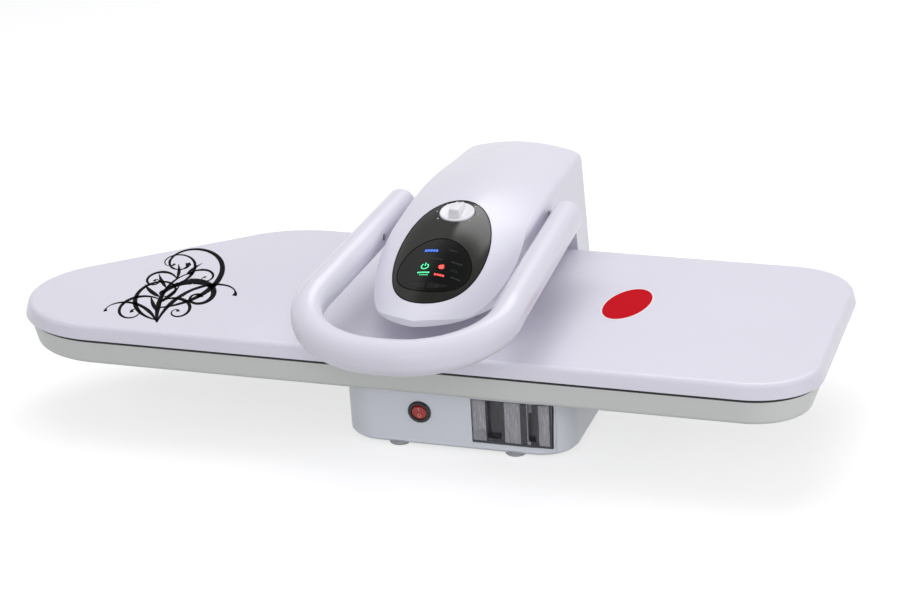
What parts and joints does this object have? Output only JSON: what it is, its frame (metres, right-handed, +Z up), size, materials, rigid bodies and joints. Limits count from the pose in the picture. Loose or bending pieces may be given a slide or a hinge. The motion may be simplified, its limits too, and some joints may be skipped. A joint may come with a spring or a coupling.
{
  "type": "steam ironing press",
  "caption": "Table-top steam ironing press with a padded board, a hinged heated press head, a loop handle on a toggle link and a slide-out water tank.",
  "frame": {"origin": "centre of the overall box, on the surface the feet stand on", "axes": "+Z up, front with the handle, switch and tank is -Y, +X to the user's right"},
  "size_m": [0.8643, 0.566, 0.2412],
  "materials": {
    "tray_plastic": "gloss",
    "sheet_steel": "satin",
    "foam": "matte",
    "cover_cloth": "matte",
    "base_plastic": "gloss",
    "foot_rubber": "matte",
    "screw_steel": "satin",
    "switch_black": "gloss",
    "rocker_red": "gloss",
    "tank_smoke": "gloss",
    "tank_dark": "gloss",
    "valve_black": "matte",
    "pump_black": "matte",
    "hose_rubber": "matte",
    "inlet_rubber": "matte",
    "frame_steel": "satin",
    "shaft_steel": "satin",
    "spring_steel": "satin",
    "shell_white": "gloss",
    "plate_aluminium": "satin",
    "chamber_aluminium": "cast",
    "element_steel": "satin",
    "insulation_felt": "matte",
    "neck_plastic": "satin",
    "bush_plastic": "satin",
    "panel_black": "gloss",
    "window_black": "gloss",
    "key_black": "gloss",
    "knob_white": "gloss",
    "thermostat_steel": "satin",
    "board_green": "satin"
  },
  "bodies": {
    "base": {"lower_board": "tray_plastic", "board_sheet": "sheet_steel", "foam_pad": "foam", "board_cover": "cover_cloth", "base_housing": "base_plastic", "base_pan": "base_plastic", "rubber_feet": "foot_rubber", "base_screws": "screw_steel", "switch_bezel": "switch_black", "valve_seat": "valve_black", "water_pump": "pump_black", "feed_hose": "hose_rubber", "cord_inlet": "inlet_rubber", "hinge_bracket": "frame_steel", "hinge_shaft": "shaft_steel", "link_pin": "shaft_steel", "lift_springs": "spring_steel"},
    "head": {"head_cover": "shell_white", "heating_plate": "plate_aluminium", "steam_chamber": "chamber_aluminium", "heating_element": "element_steel", "insulation": "insulation_felt", "arm_cover": "shell_white", "arm_underside": "shell_white", "arm_neck": "neck_plastic", "arm_frame": "frame_steel", "handle_bushes": "bush_plastic", "control_panel": "panel_black", "display_window": "window_black", "thermostat": "thermostat_steel", "control_board": "board_green"},
    "handle": {"handle_lower": "shell_white", "handle_upper": "shell_white", "handle_shaft": "shaft_steel"},
    "link": {"toggle_link": "frame_steel"},
    "tank": {"water_tank": "tank_smoke", "tank_frame": "tank_dark", "tank_plug": "tank_dark", "tank_cap": "tank_dark", "tank_valve": "valve_black"},
    "rocker": {"power_rocker": "rocker_red"},
    "knob": {"temperature_knob": "knob_white"},
    "left_key": {"left_key": "key_black"},
    "right_key": {"right_key": "key_black"}
  },
  "joints": [
    {"name": "head_hinge", "type": "hinge", "parent": "base", "child": "head", "pos_m": [0.035, 0.245, 0.072], "axis": [-1, 0, 0], "range_deg": [0, 38]},
    {"name": "handle_pivot", "type": "hinge", "parent": "head", "child": "handle", "pos_m": [0.035, 0.098, 0.197], "axis": [-1, 0, 0], "range_deg": [0, 34.2]},
    {"name": "link_pivot", "type": "hinge", "parent": "base", "child": "link", "pos_m": [0.035, 0.2415, 0.097], "axis": [-1, 0, 0], "range_deg": [0, 42.91]},
    {"name": "tank_slide", "type": "slide", "parent": "base", "child": "tank", "axis": [0, -1, 0], "range_m": [0, 0.13]},
    {"name": "rocker_tilt", "type": "hinge", "parent": "base", "child": "rocker", "pos_m": [0.02, -0.09959, 0.04312], "axis": [-1, 0, 0], "range_deg": [0, 16]},
    {"name": "knob_turn", "type": "hinge", "parent": "head", "child": "knob", "pos_m": [0.035, -0.001, 0.2258], "axis": [0, -0.225, 0.9744], "range_deg": [0, 270]},
    {"name": "left_key_press", "type": "slide", "parent": "head", "child": "left_key", "axis": [0, 0.4226, -0.9063], "range_m": [0, 0.0008], "stiffness_N_per_m": 800, "springref_m": -0.001},
    {"name": "right_key_press", "type": "slide", "parent": "head", "child": "right_key", "axis": [0, 0.4226, -0.9063], "range_m": [0, 0.0008], "stiffness_N_per_m": 800, "springref_m": -0.001}
  ],
  "couplings": [
    {"joint": "handle_pivot", "follows": "head_hinge", "ratio": 0.9},
    {"joint": "link_pivot", "follows": "head_hinge", "ratio": 1.129}
  ]
}
